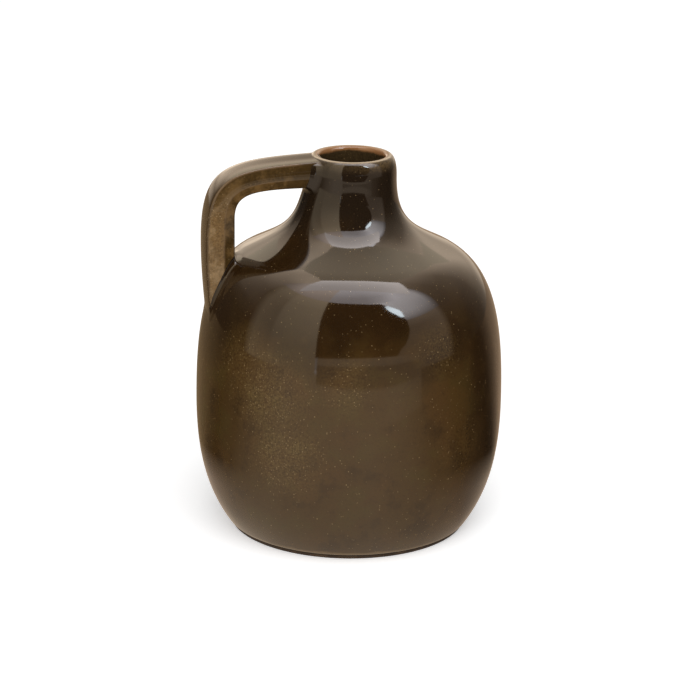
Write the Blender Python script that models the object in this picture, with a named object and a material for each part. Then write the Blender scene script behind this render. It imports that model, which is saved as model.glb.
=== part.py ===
# Bud vase in glazed stoneware, put together as a potter joins it: a turned body on a foot
# ring, a short neck with a rounded lip on the body's collar, and a strap handle between the
# neck and the shoulder, stuck on with slip.
# Metres, +Z up. The origin is on the turning axis, on the surface that the vase stands on.
# The handle lies in the XZ plane, on the -X side.

import math

import bmesh
import bpy
import numpy as np

# Layer of slip between two clay pieces
SLIP_GAP = 0.0003

# Foot ring: what shows below the body, and the tongue that goes up into its groove
FOOT_RADIUS = 0.0376
FOOT_WIDTH = 0.0070
FOOT_SHOW = 0.0010
FOOT_EDGE = 0.0004
TONGUE_WIDTH = 0.0035
TONGUE_HEIGHT = 0.0020

# Body outline: base edge, widest line of the belly, and the point where the shoulder turns
# from bulging to hollow. A pull is how far a curve keeps the direction of its end.
BASE_OVERHANG = 0.0008
BASE_EDGE = 0.0008
BASE_ANGLE = math.radians(54.5)
BASE_PULL = 0.0122
BELLY_RADIUS = 0.0486
BELLY_HEIGHT = 0.0410
BELLY_PULL_DOWN = 0.0180
BELLY_PULL_UP = 0.0268
SHOULDER_RADIUS = 0.0317
SHOULDER_RISE = 0.0493
SHOULDER_ANGLE = math.radians(25.7)
SHOULDER_PULL_DOWN = 0.0150
SHOULDER_PULL_UP = 0.0134

# Body wall and floor
BODY_WALL = 0.0036
UNDERSIDE_HOLLOW = 0.0010
FLOOR_THICKNESS = 0.0045
INSIDE_CORNER = 0.0060

# Seat of the neck: a step in the wall, with the body's collar standing inside it
SEAT_RISE = 0.0072
COLLAR_WALL = 0.0014
COLLAR_HEIGHT = 0.0020

# Neck and lip
NECK_RADIUS = 0.01405
NECK_RISE = 0.0231
NECK_PULL_DOWN = 0.0143
MOUTH_RADIUS = 0.0102
LIP_RISE = 0.0066
LIP_PULL_UP = 0.0046
LIP_PULL_OUT = 0.0011
LIP_INSIDE_EDGE = 0.0015

# Swelling of the neck's root and the shoulder under the handle
SADDLE_SWELL = 0.0017
SADDLE_BELOW_LIP = 0.0230
SADDLE_HALF_HEIGHT = 0.0140
SADDLE_HALF_ANGLE = math.radians(38)

# Strap handle: its section, whose sides lean in below a soft edge, and its outer and inner
# lines, seen from the side
HANDLE_WIDTH = 0.0144
HANDLE_SQUARENESS = 5.0
SIDE_EDGE_AT = -0.20
SIDE_LEAN = 0.30
HANDLE_BELOW_LIP = 0.0002
HANDLE_FALL = math.radians(3.3)
HANDLE_INSET = 0.0016
HANDLE_BEND_DROP = 0.0271
HANDLE_PULL_LEVEL = 0.0283
HANDLE_PULL_UP = 0.0248
STRAP_THICKNESS_TOP = 0.0090
STRAP_THICKNESS_SIDE = 0.0096
STRAP_BEND_DROP = 0.0090
STRAP_PULL_LEVEL = 0.0217
STRAP_PULL_UP = 0.0086
LANDING_DROP = 0.0265
LANDING_SINK = 0.0023
LANDING_PULL = 0.0100
LANDING_LEAN = math.radians(6)

# Slip fillets at the two ends of the handle: their reach along the strap and over the vase.
# The lower one goes all the way round the strap. The upper one leaves the strap's outer face
# free, because that face runs straight into the lip.
UPPER_FILLET_ON_STRAP = 0.0038
UPPER_FILLET_ON_VASE = 0.0026
LOWER_FILLET_ON_STRAP = 0.0045
LOWER_FILLET_ON_VASE = 0.0028
FILLET_EDGE = 0.00015
UPPER_FILLET_START = math.radians(50)
UPPER_FILLET_FULL = math.radians(62)
UPPER_FILLET_TIP = 0.3

# Fineness of the mesh: steps round the axis, rows of points along each outline, and points
# round the strap
TURN_STEPS = 48
BODY_ROWS = 30
INSIDE_ROWS = 14
NECK_ROWS = 9
LIP_ROWS = 8
BORE_ROWS = 7
EDGE_ROWS = 5
SECTION_POINTS = 32
HANDLE_STATIONS = 26
FILLET_ROWS = 6
LINE_STEPS = 240
SMOOTH_BELOW = math.radians(35)


# Heights and radii that follow from the sizes above
BASE_HEIGHT = FOOT_SHOW + SLIP_GAP
BASE_RADIUS = FOOT_RADIUS + BASE_OVERHANG
SHOULDER_HEIGHT = BELLY_HEIGHT + SHOULDER_RISE
SEAT_HEIGHT = SHOULDER_HEIGHT + SEAT_RISE
NECK_HEIGHT = SHOULDER_HEIGHT + NECK_RISE
LIP_HEIGHT = NECK_HEIGHT + LIP_RISE
CROWN_RADIUS = MOUTH_RADIUS + LIP_INSIDE_EDGE
NECK_WALL = NECK_RADIUS - MOUTH_RADIUS
FLOOR_UNDERSIDE = FOOT_SHOW + UNDERSIDE_HOLLOW
FLOOR_TOP = FLOOR_UNDERSIDE + FLOOR_THICKNESS
TONGUE_INSIDE = FOOT_RADIUS - FOOT_WIDTH
TONGUE_OUTSIDE = TONGUE_INSIDE + TONGUE_WIDTH
TONGUE_TOP = FOOT_SHOW + TONGUE_HEIGHT


def cubic(start, start_pull, end_pull, end, steps):
    """Points of a cubic curve. The pulls are vectors from its two ends."""
    share = np.linspace(0.0, 1.0, steps)[:, None]
    start, end = np.array(start), np.array(end)
    near = start + np.array(start_pull)
    far = end + np.array(end_pull)
    rest = 1.0 - share
    return rest**3 * start + 3 * rest**2 * share * near + 3 * rest * share**2 * far + share**3 * end


def rounded(before, corner, after, steps):
    """Points round a corner, tangent to both of its sides."""
    share = np.linspace(0.0, 1.0, steps)[:, None]
    rest = 1.0 - share
    return rest**2 * np.array(before) + 2 * rest * share * np.array(corner) + share**2 * np.array(after)


def joined(*lines):
    """Lines one after the other, with the points that they share kept once."""
    points = np.vstack(lines)
    steps = np.linalg.norm(np.diff(points, axis=0), axis=1)
    return points[np.concatenate([[True], steps > 1e-7])]


def lengths(line):
    steps = np.linalg.norm(np.diff(line, axis=0), axis=1)
    return np.concatenate([[0.0], np.cumsum(steps)])


def spaced(line, count):
    """The same line with evenly spaced points."""
    along = lengths(line)
    wanted = np.linspace(0.0, along[-1], count)
    return np.column_stack([np.interp(wanted, along, line[:, i]) for i in range(line.shape[1])])


def offset(line, distance):
    """A line in the profile's plane moved to its right, which is outwards on a rising line."""
    along = np.gradient(line, axis=0)
    along /= np.linalg.norm(along, axis=1)[:, None]
    return line + distance * np.column_stack([along[:, 1], -along[:, 0]])


def between(line, low, high, count):
    """The stretch of a rising line between two heights, evenly spaced."""
    heights = line[:, 1]
    inside = line[(heights > low) & (heights < high)]
    ends = [[np.interp(height, heights, line[:, 0]), height] for height in (low, high)]
    return spaced(np.vstack([ends[0], inside, ends[1]]), count)


def direction(angle):
    return np.array([math.cos(angle), math.sin(angle)])


def form_line():
    """The vase's outside from the base edge up to the crown of the lip, as radius and height."""
    base = (BASE_RADIUS, BASE_HEIGHT)
    belly = (BELLY_RADIUS, BELLY_HEIGHT)
    shoulder = (SHOULDER_RADIUS, SHOULDER_HEIGHT)
    neck = (NECK_RADIUS, NECK_HEIGHT)
    crown = (CROWN_RADIUS, LIP_HEIGHT)
    inwards = direction(math.pi - SHOULDER_ANGLE)
    return joined(
        cubic(base, BASE_PULL * direction(BASE_ANGLE), (0.0, -BELLY_PULL_DOWN), belly, LINE_STEPS),
        cubic(belly, (0.0, BELLY_PULL_UP), -SHOULDER_PULL_DOWN * inwards, shoulder, LINE_STEPS),
        cubic(shoulder, SHOULDER_PULL_UP * inwards, (0.0, -NECK_PULL_DOWN), neck, LINE_STEPS),
        cubic(neck, (0.0, LIP_PULL_UP), (LIP_PULL_OUT, 0.0), crown, LINE_STEPS),
    )


FORM = form_line()


def body_rows():
    return between(FORM, BASE_HEIGHT + BASE_EDGE, SEAT_HEIGHT, BODY_ROWS)


def neck_rows(bottom):
    return joined(
        between(FORM, bottom, NECK_HEIGHT, NECK_ROWS),
        spaced(FORM[FORM[:, 1] >= NECK_HEIGHT], LIP_ROWS),
    )


def saddle(height, azimuth):
    """How far the outside swells at a height and at an angle from the handle."""
    rise = (height - (LIP_HEIGHT - SADDLE_BELOW_LIP)) / SADDLE_HALF_HEIGHT
    turn = azimuth / SADDLE_HALF_ANGLE
    return SADDLE_SWELL * np.exp(-(rise**4) - turn**2)


def azimuth_of(x, y):
    """Angle round the axis, counted from the handle."""
    return np.arctan2(y, -x)


def new_mesh(name):
    mesh = bpy.data.meshes.new(name)
    obj = bpy.data.objects.new(name, mesh)
    bpy.context.scene.collection.objects.link(obj)
    return obj


def fill_mesh(obj, bm):
    bmesh.ops.remove_doubles(bm, verts=bm.verts, dist=1e-6)
    bmesh.ops.recalc_face_normals(bm, faces=bm.faces)
    if bm.calc_volume(signed=True) < 0.0:
        bmesh.ops.reverse_faces(bm, faces=bm.faces)
    bm.to_mesh(obj.data)
    bm.free()
    obj.data.shade_smooth()
    obj.data.set_sharp_from_angle(angle=SMOOTH_BELOW)
    return obj


def turned(name, profile, outside):
    """A profile spun round the axis. Its points in outside take the saddle's swelling."""
    bm = bmesh.new()
    points = list(profile)
    closes = points[0][0] > 0.0
    verts = [bm.verts.new((-radius, 0.0, height)) for radius, height in points]
    pairs = list(zip(verts, verts[1:]))
    if closes:
        pairs.append((verts[-1], verts[0]))
    edges = [bm.edges.new(pair) for pair in pairs]
    bmesh.ops.spin(
        bm,
        geom=verts + edges,
        cent=(0.0, 0.0, 0.0),
        axis=(0.0, 0.0, 1.0),
        angle=2.0 * math.pi,
        steps=TURN_STEPS,
        use_merge=True,
    )
    for vert in bm.verts:
        radius = math.hypot(vert.co.x, vert.co.y)
        if outside(radius, vert.co.z):
            grown = 1.0 + saddle(vert.co.z, azimuth_of(vert.co.x, vert.co.y)) / radius
            vert.co.x *= grown
            vert.co.y *= grown
    return fill_mesh(new_mesh(name), bm)


def on_form(radius, height):
    """Whether a point of a profile lies on the vase's outside, or further out."""
    on_line = np.interp(height, FORM[:, 1], FORM[:, 0])
    return height > BASE_HEIGHT + BASE_EDGE and radius > on_line - SLIP_GAP / 10.0


def foot_ring():
    edge = FOOT_EDGE
    profile = joined(
        [(TONGUE_INSIDE, 0.0)],
        rounded((FOOT_RADIUS - edge, 0.0), (FOOT_RADIUS, 0.0), (FOOT_RADIUS, edge), EDGE_ROWS),
        [(FOOT_RADIUS, FOOT_SHOW)],
        [(TONGUE_OUTSIDE, FOOT_SHOW)],
        [(TONGUE_OUTSIDE, TONGUE_TOP)],
        [(TONGUE_INSIDE, TONGUE_TOP)],
    )
    return turned("foot_ring", profile, lambda radius, height: False)


def collar_radius(inside):
    return np.interp(SEAT_HEIGHT, inside[:, 1], inside[:, 0]) + COLLAR_WALL


def body():
    inside = offset(FORM, -BODY_WALL)
    inside = inside[inside[:, 0] > 0.0]
    collar = collar_radius(inside)
    corner_start = FLOOR_TOP + INSIDE_CORNER
    corner = np.interp(corner_start, inside[:, 1], inside[:, 0])
    wall = body_rows()
    groove_inside = TONGUE_INSIDE - SLIP_GAP
    groove_outside = TONGUE_OUTSIDE + SLIP_GAP
    groove_top = TONGUE_TOP + SLIP_GAP
    profile = joined(
        [(0.0, FLOOR_UNDERSIDE)],
        [(groove_inside, FLOOR_UNDERSIDE)],
        [(groove_inside, groove_top)],
        [(groove_outside, groove_top)],
        [(groove_outside, BASE_HEIGHT)],
        rounded((BASE_RADIUS - BASE_EDGE, BASE_HEIGHT), (BASE_RADIUS, BASE_HEIGHT), wall[0], EDGE_ROWS),
        wall,
        [(collar, SEAT_HEIGHT)],
        [(collar, SEAT_HEIGHT + COLLAR_HEIGHT)],
        between(inside, corner_start, SEAT_HEIGHT + COLLAR_HEIGHT, INSIDE_ROWS)[::-1],
        rounded((corner, corner_start), (corner, FLOOR_TOP), (corner - INSIDE_CORNER, FLOOR_TOP), EDGE_ROWS),
        [(0.0, FLOOR_TOP)],
    )
    return turned("body", profile, on_form)


def neck():
    body_inside = offset(FORM, -BODY_WALL)
    skirt_inside = collar_radius(body_inside) + SLIP_GAP
    skirt_bottom = SEAT_HEIGHT + SLIP_GAP
    step_top = SEAT_HEIGHT + COLLAR_HEIGHT + SLIP_GAP
    inside = offset(FORM, -NECK_WALL)
    bore = between(inside[inside[:, 0] >= MOUTH_RADIUS], step_top, NECK_HEIGHT, BORE_ROWS)
    profile = joined(
        neck_rows(skirt_bottom),
        rounded(
            (CROWN_RADIUS, LIP_HEIGHT),
            (MOUTH_RADIUS, LIP_HEIGHT),
            (MOUTH_RADIUS, LIP_HEIGHT - LIP_INSIDE_EDGE),
            EDGE_ROWS,
        ),
        bore[::-1],
        [(skirt_inside, step_top)],
        [(skirt_inside, skirt_bottom)],
    )
    return turned("neck", profile, on_form)


def form_cutter():
    """The whole outside, grown by the slip gap, to trim what is stuck on it."""
    grown = offset(joined(body_rows(), neck_rows(SEAT_HEIGHT)), SLIP_GAP)
    profile = joined([(0.0, grown[0, 1])], grown, [(0.0, grown[-1, 1])])
    cutter = turned("form_cutter", profile, on_form)
    cutter.hide_render = True
    cutter.display_type = "WIRE"
    return cutter


def strap_lines():
    """Outer and inner line of the handle, from inside the neck to inside the shoulder."""
    top = LIP_HEIGHT - HANDLE_BELOW_LIP
    reach = BELLY_RADIUS - HANDLE_INSET
    bend = top - HANDLE_BEND_DROP
    landing = SHOULDER_HEIGHT - LANDING_DROP
    sunk = np.interp(landing, FORM[:, 1], FORM[:, 0]) - LANDING_SINK
    level = direction(-HANDLE_FALL)
    landing_way = direction(math.pi / 2.0 - LANDING_LEAN)
    outer = joined(
        cubic((MOUTH_RADIUS, top), HANDLE_PULL_LEVEL * level, (0.0, HANDLE_PULL_UP), (reach, bend), LINE_STEPS),
        cubic((reach, bend), (0.0, -LANDING_PULL), LANDING_PULL * landing_way, (sunk, landing), LINE_STEPS),
    )
    under = top - STRAP_THICKNESS_TOP
    inner_reach = reach - STRAP_THICKNESS_SIDE
    inner_bend = under - STRAP_BEND_DROP
    inner = joined(
        cubic(
            (MOUTH_RADIUS, under),
            (STRAP_PULL_LEVEL, 0.0),
            (0.0, STRAP_PULL_UP),
            (inner_reach, inner_bend),
            LINE_STEPS,
        ),
        cubic((inner_reach, inner_bend), (0.0, 0.0), (0.0, 0.0), (inner_reach, landing), LINE_STEPS),
    )
    return outer, inner


def section_angles():
    """Angles round the strap's section, from the middle of its outer face."""
    return np.arange(SECTION_POINTS) * 2.0 * math.pi / SECTION_POINTS


def strap_sections(stations):
    """Rings of points round the strap. Each outer point is paired with the nearest inner one."""
    outer, inner = strap_lines()
    angles = section_angles()
    power = 2.0 / HANDLE_SQUARENESS
    out = np.sign(np.cos(angles)) * np.abs(np.cos(angles)) ** power
    side = np.sign(np.sin(angles)) * np.abs(np.sin(angles)) ** power
    lean = np.clip((SIDE_EDGE_AT - out) / (SIDE_EDGE_AT + 1.0), 0.0, 1.0)
    lateral = side * HANDLE_WIDTH / 2.0 * (1.0 - SIDE_LEAN * lean)
    rings = []
    for point in spaced(outer, stations):
        nearest = inner[np.argmin(np.linalg.norm(inner - point, axis=1))]
        flat = (point + nearest) / 2.0 + np.outer(out, (point - nearest) / 2.0)
        rings.append(np.column_stack([-flat[:, 0], lateral, flat[:, 1]]))
    return np.array(rings)


def tube(name, rings, closed=False):
    """A solid through rings of points: a closed loop, or a run with a fan at each end."""
    bm = bmesh.new()
    rows = [[bm.verts.new(point) for point in ring] for ring in rings]
    following = rows[1:] + rows[:1] if closed else rows[1:]
    for near, far in zip(rows, following):
        for i in range(len(near)):
            j = (i + 1) % len(near)
            bm.faces.new((near[i], near[j], far[j], far[i]))
    ends = () if closed else ((rows[0], rings[0]), (rows[-1], rings[-1]))
    for row, ring in ends:
        centre = bm.verts.new(np.mean(ring, axis=0))
        for i in range(len(row)):
            bm.faces.new((centre, row[i], row[(i + 1) % len(row)]))
    return fill_mesh(new_mesh(name), bm)


def cut(obj, cutter):
    modifier = obj.modifiers.new("trim", "BOOLEAN")
    modifier.operation = "DIFFERENCE"
    modifier.object = cutter


def handle(cutter):
    strap = tube("handle", strap_sections(HANDLE_STATIONS))
    cut(strap, cutter)
    return strap


def form_radius(height, azimuth):
    return np.interp(height, FORM[:, 1], FORM[:, 0]) + saddle(height, azimuth)


def form_point(point):
    """The outside's nearest point on the same half plane, and the direction out of it there."""
    azimuth = azimuth_of(point[0], point[1])
    radius = math.hypot(point[0], point[1]) - saddle(point[2], azimuth)
    index = np.argmin(np.linalg.norm(FORM - (radius, point[2]), axis=1))
    index = min(max(index, 1), len(FORM) - 2)
    height = FORM[index, 1]
    rising = FORM[index + 1] - FORM[index - 1]
    rising /= np.linalg.norm(rising)
    outwards = np.array([-math.cos(azimuth), math.sin(azimuth), 0.0])
    upwards = np.array([0.0, 0.0, 1.0])
    spot = form_radius(height, azimuth) * outwards + height * upwards
    return spot, rising[1] * outwards - rising[0] * upwards


def off_both(corner, first, second, distance):
    """The point at one distance from both of the faces that meet in a corner."""
    return corner + distance / (1.0 + first @ second) * (first + second)


def fillet_section(rings, column, on_strap, on_vase):
    """Outline of the slip where one line of the strap, read from its free middle, meets the vase."""
    line = rings[:, column]
    azimuths = azimuth_of(line[:, 0], line[:, 1])
    clear = np.hypot(line[:, 0], line[:, 1]) - form_radius(line[:, 2], azimuths)
    landed = int(np.argmax(clear < 0.0))
    along = line[landed] - line[landed - 1]
    around = rings[landed, (column + 1) % SECTION_POINTS] - rings[landed, column - 1]
    strap_out = np.cross(around, along)
    strap_out /= np.linalg.norm(strap_out)
    if strap_out @ (line[landed] - np.mean(rings[landed], axis=0)) < 0.0:
        strap_out = -strap_out
    run_so_far = lengths(line)
    back = int(np.searchsorted(run_so_far, run_so_far[landed] - on_strap))
    hit, form_out = form_point(line[landed])
    over = strap_out - (strap_out @ form_out) * form_out
    form_foot, foot_out = form_point(hit + on_vase * over / np.linalg.norm(over))
    lifted = SLIP_GAP + FILLET_EDGE
    face = rounded(
        line[back] + lifted * strap_out,
        off_both(hit, strap_out, form_out, lifted),
        form_foot + lifted * foot_out,
        FILLET_ROWS,
    )
    seat = [
        form_foot + SLIP_GAP * foot_out,
        off_both(hit, strap_out, form_out, SLIP_GAP),
        line[back] + SLIP_GAP * strap_out,
    ]
    return np.vstack([face, seat])


def upper_slip_joint(rings):
    """Slip round the strap's sides and inner face, tapering to a tip below its outer face."""
    sections = []
    for column, angle in enumerate(section_angles()):
        from_outer_face = min(angle, 2.0 * math.pi - angle)
        if from_outer_face < UPPER_FILLET_START:
            continue
        full = (from_outer_face - UPPER_FILLET_START) / (UPPER_FILLET_FULL - UPPER_FILLET_START)
        share = UPPER_FILLET_TIP + (1.0 - UPPER_FILLET_TIP) * min(1.0, full)
        reaches = share * UPPER_FILLET_ON_STRAP, share * UPPER_FILLET_ON_VASE
        sections.append(fillet_section(rings, column, *reaches))
    return tube("upper_slip_joint", np.array(sections))


def lower_slip_joint(rings):
    """Slip all the way round the strap where it lands on the shoulder."""
    reaches = LOWER_FILLET_ON_STRAP, LOWER_FILLET_ON_VASE
    sections = [fillet_section(rings, column, *reaches) for column in range(SECTION_POINTS)]
    return tube("lower_slip_joint", np.array(sections), closed=True)


def material(name, colour, roughness, coat):
    made = bpy.data.materials.new(name)
    made.use_nodes = True
    shader = made.node_tree.nodes["Principled BSDF"]
    shader.inputs["Base Color"].default_value = (*colour, 1.0)
    shader.inputs["Roughness"].default_value = roughness
    shader.inputs["Metallic"].default_value = 0.0
    shader.inputs["Coat Weight"].default_value = coat
    return made


def clear_scene():
    for obj in list(bpy.data.objects):
        bpy.data.objects.remove(obj, do_unlink=True)


def main():
    clear_scene()
    cutter = form_cutter()
    rings = strap_sections(LINE_STEPS)
    middle = LINE_STEPS // 2
    finishes = (
        (foot_ring(), ("bare_clay", (0.30, 0.20, 0.13), 0.85, 0.0)),
        (body(), ("brown_glaze", (0.066, 0.040, 0.022), 0.12, 0.4)),
        (neck(), ("neck_glaze", (0.060, 0.034, 0.018), 0.10, 0.4)),
        (handle(cutter), ("handle_glaze", (0.125, 0.076, 0.036), 0.16, 0.4)),
        (upper_slip_joint(rings[middle::-1]), ("upper_joint_glaze", (0.060, 0.036, 0.018), 0.12, 0.4)),
        (lower_slip_joint(rings[middle:]), ("lower_joint_glaze", (0.060, 0.036, 0.018), 0.12, 0.4)),
    )
    for obj, finish in finishes:
        obj.data.materials.append(material(*finish))


main()
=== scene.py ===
import math

import bmesh
import bpy
import numpy as np
from mathutils import Matrix, Vector


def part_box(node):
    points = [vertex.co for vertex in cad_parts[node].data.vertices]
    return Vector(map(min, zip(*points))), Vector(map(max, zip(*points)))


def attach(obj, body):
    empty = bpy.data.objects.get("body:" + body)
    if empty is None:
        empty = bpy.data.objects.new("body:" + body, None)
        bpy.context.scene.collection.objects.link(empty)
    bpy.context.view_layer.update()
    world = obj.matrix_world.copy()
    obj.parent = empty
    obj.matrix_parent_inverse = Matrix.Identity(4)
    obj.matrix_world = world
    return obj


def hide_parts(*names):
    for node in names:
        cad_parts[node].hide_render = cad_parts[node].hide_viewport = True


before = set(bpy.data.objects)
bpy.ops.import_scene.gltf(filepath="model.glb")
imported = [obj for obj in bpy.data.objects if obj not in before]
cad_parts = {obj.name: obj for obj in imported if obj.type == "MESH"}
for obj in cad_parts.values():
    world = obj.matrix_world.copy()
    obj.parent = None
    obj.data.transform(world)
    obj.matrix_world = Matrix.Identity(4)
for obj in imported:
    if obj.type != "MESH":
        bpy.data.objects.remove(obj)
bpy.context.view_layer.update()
print("frame loaded:", ", ".join(sorted(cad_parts)))

mm = 0.001
lineSteps = 900  # points on each curve of an outline

vaseForm = {
    "baseRadius": 38.4 * mm,
    "baseHeight": 1.3 * mm,
    "baseEdge": 0.8 * mm,  # rounding between the wall and the underside
    "baseAngle": math.radians(54.5),
    "basePull": 12.2 * mm,
    "bellyRadius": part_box("body")[1].x,
    "bellyHeight": 41.0 * mm,
    "bellyPullDown": 18.0 * mm,
    "bellyPullUp": 26.8 * mm,
    "shoulderRadius": 31.7 * mm,
    "shoulderHeight": 90.3 * mm,
    "shoulderAngle": math.radians(25.7),
    "shoulderPullDown": 15.0 * mm,
    "shoulderPullUp": 13.4 * mm,
    "seatHeight": 97.5 * mm,  # where the neck stands on the body
    "neckRadius": 14.05 * mm,
    "neckHeight": 113.4 * mm,
    "neckPullDown": 14.3 * mm,
    "crownRadius": 11.7 * mm,
    "lipHeight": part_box("neck")[1].z,
    "lipPullUp": 4.6 * mm,
    "lipPullOut": 1.1 * mm,
    "mouthRadius": 10.2 * mm,
    "rimDepth": 1.5 * mm,  # how far the rounding of the mouth reaches down inside
    "boreDrop": 6.0 * mm,  # the bore straightens this far under the neck's height
    "borePullUp": 2.0 * mm,
    "borePullDown": 4.0 * mm,
    "wall": 3.6 * mm,
    "floorTop": 6.5 * mm,
    "floorUnderside": 2.0 * mm,
    "floorCorner": 6.0 * mm,
    "grooveInside": 30.3 * mm,  # the groove that takes the foot ring's tongue
    "grooveOutside": 34.4 * mm,
    "grooveTop": 3.3 * mm,
    "turnSteps": 256,
    "rowSpacing": 0.55 * mm,
    "insideSpacing": 1.5 * mm,
    "boreSpacing": 0.8 * mm,
}

# The root of the neck and the shoulder swell a little under the handle
saddle = {
    "Swell": 1.7 * mm,
    "Swell Height": vaseForm["lipHeight"] - 23.0 * mm,
    "Swell Half Height": 14.0 * mm,
    "Swell Half Angle": math.radians(38),
}


def unit(vector):
    return vector / np.linalg.norm(vector)


def cubic(start, startPull, endPull, end, steps=lineSteps):
    share = np.linspace(0.0, 1.0, steps)[:, None]
    start, end = np.array(start, float), np.array(end, float)
    near, far, rest = start + np.array(startPull), end + np.array(endPull), 1.0 - share
    return rest**3 * start + 3 * rest**2 * share * near + 3 * rest * share**2 * far + share**3 * end


def rounded(before, corner, after, steps):
    share = np.linspace(0.0, 1.0, steps)[:, None]
    rest = 1.0 - share
    return rest**2 * np.array(before) + 2 * rest * share * np.array(corner) + share**2 * np.array(after)


def distinct(points, gap):
    # True for each point that doesn't lie on the one before it
    return np.concatenate([[True], np.linalg.norm(np.diff(points, axis=0), axis=1) > gap])


def joined(*lines):
    points = np.vstack(lines)
    return points[distinct(points, 1e-9)]


def lengths(line):
    return np.concatenate([[0.0], np.cumsum(np.linalg.norm(np.diff(line, axis=0), axis=1))])


def spaced(line, spacing):
    along = lengths(line)
    wanted = np.linspace(0.0, along[-1], max(2, int(round(along[-1] / spacing)) + 1))
    return np.column_stack([np.interp(wanted, along, line[:, i]) for i in range(line.shape[1])])


def offset(line, distance):
    along = np.gradient(line, axis=0)
    along /= np.linalg.norm(along, axis=1)[:, None]
    return line + distance * np.column_stack([along[:, 1], -along[:, 0]])


def between(line, low, high):
    heights = line[:, 1]
    inside = line[(heights > low) & (heights < high)]
    ends = [[np.interp(height, heights, line[:, 0]), height] for height in (low, high)]
    return np.vstack([ends[:1], inside, ends[1:]])


def direction(angle):
    return np.array([math.cos(angle), math.sin(angle)])


def formLine(v=vaseForm):
    # Outside of the vase from the base edge to the crown of the lip, as radius and height
    base, belly = (v["baseRadius"], v["baseHeight"]), (v["bellyRadius"], v["bellyHeight"])
    shoulder, neck = (v["shoulderRadius"], v["shoulderHeight"]), (v["neckRadius"], v["neckHeight"])
    crown = (v["crownRadius"], v["lipHeight"])
    inwards = direction(math.pi - v["shoulderAngle"])
    return joined(
        cubic(base, v["basePull"] * direction(v["baseAngle"]), (0, -v["bellyPullDown"]), belly),
        cubic(belly, (0, v["bellyPullUp"]), -v["shoulderPullDown"] * inwards, shoulder),
        cubic(shoulder, v["shoulderPullUp"] * inwards, (0, -v["neckPullDown"]), neck),
        cubic(neck, (0, v["lipPullUp"]), (v["lipPullOut"], 0), crown),
    )


outline = formLine()


# Places on the form are a height and an azimuth, which is counted from the handle
def swelling(height, azimuth):
    rise = (height - saddle["Swell Height"]) / saddle["Swell Half Height"]
    turn = azimuth / saddle["Swell Half Angle"]
    return saddle["Swell"] * np.exp(-(rise**4) - turn**2)


def formRadius(height, azimuth):
    return np.interp(height, outline[:, 1], outline[:, 0]) + swelling(height, azimuth)


def awayFrom(azimuth):
    return np.array([-math.cos(azimuth), math.sin(azimuth), 0.0])


def formNormal(height, azimuth, step=0.02 * mm):
    turn = step / formRadius(height, azimuth)
    lean = (formRadius(height + step, azimuth) - formRadius(height - step, azimuth)) / (2 * step)
    skew = (formRadius(height, azimuth + turn) - formRadius(height, azimuth - turn)) / (2 * step)
    sideways = np.array([math.sin(azimuth), math.cos(azimuth), 0.0])
    return unit(awayFrom(azimuth) - lean * np.array([0.0, 0.0, 1.0]) - skew * sideways)


def formPoint(point):
    # The outside's nearest point on the same half plane, and the direction out of it there
    azimuth = math.atan2(point[1], -point[0])
    radius = math.hypot(point[0], point[1]) - swelling(point[2], azimuth)
    here = np.array([radius, point[2]])
    index = int(np.clip(np.argmin(np.linalg.norm(outline - here, axis=1)), 1, len(outline) - 2))
    rising = unit(outline[index + 1] - outline[index - 1])
    height = outline[index, 1] + ((here - outline[index]) @ rising) * rising[1]
    spot = formRadius(height, azimuth) * awayFrom(azimuth) + np.array([0.0, 0.0, height])
    return spot, formNormal(height, azimuth)


# Small helpers for node trees. A socket knows its own tree.
def addNode(tree, kind, given=None, **settings):
    node = tree.nodes.new(kind)
    count, perRow = len(tree.nodes) - 1, 10
    node.location = (190 * (count % perRow), -260 * (count // perRow))
    for name, value in settings.items():
        setattr(node, name, value)
    for socket, value in (given or {}).items():
        feed(node.inputs[socket], value)
    return node


def feed(socket, value):
    if isinstance(value, bpy.types.NodeSocket):
        socket.id_data.links.new(value, socket)
    else:
        socket.default_value = value


def calc(operation, *values, clamp=False):
    tree = next(value.id_data for value in values if isinstance(value, bpy.types.NodeSocket))
    given = dict(enumerate(values))
    return addNode(tree, "ShaderNodeMath", given, operation=operation, use_clamp=clamp).outputs[0]


def plus(first, second):
    return calc("ADD", first, second)


def minus(first, second):
    return calc("SUBTRACT", first, second)


def times(first, *others):
    for other in others:
        first = calc("MULTIPLY", first, other)
    return first


def scaled(value, factor, shift):
    return calc("MULTIPLY_ADD", value, factor, shift)


def splitPlace(vector):
    return addNode(vector.id_data, "ShaderNodeSeparateXYZ", {0: vector}).outputs


def newTree(name, kind, inputs, outputs):
    # An input is given by its number, or by its kind where it has none
    tree = bpy.data.node_groups.new(name, kind)
    for label, value in inputs.items():
        kind = value if isinstance(value, str) else type(value).__name__.capitalize()
        socket = tree.interface.new_socket(label, in_out="INPUT", socket_type="NodeSocket" + kind)
        if kind != value:
            socket.default_value = value
    for label in outputs:
        kind = "Geometry" if label == "Geometry" else "Float"
        tree.interface.new_socket(label, in_out="OUTPUT", socket_type="NodeSocket" + kind)
    return tree, addNode(tree, "NodeGroupInput").outputs, addNode(tree, "NodeGroupOutput").inputs


def finishForm(shape, given, made):
    # The shared end of each geometry tree: closed seams, smooth faces and the material
    for kind, values in (
        ("GeometryNodeMergeByDistance", {"Distance": given["Merge Distance"]}),
        ("GeometryNodeSetShadeSmooth", {}),
        ("GeometryNodeRealizeInstances", {}),
        ("GeometryNodeSetMaterial", {"Material": given["Material"]}),
    ):
        node = addNode(shape.id_data, kind, {"Geometry": shape, **values})
        shape = node.outputs["Geometry"]
    feed(made["Geometry"], shape)


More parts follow.
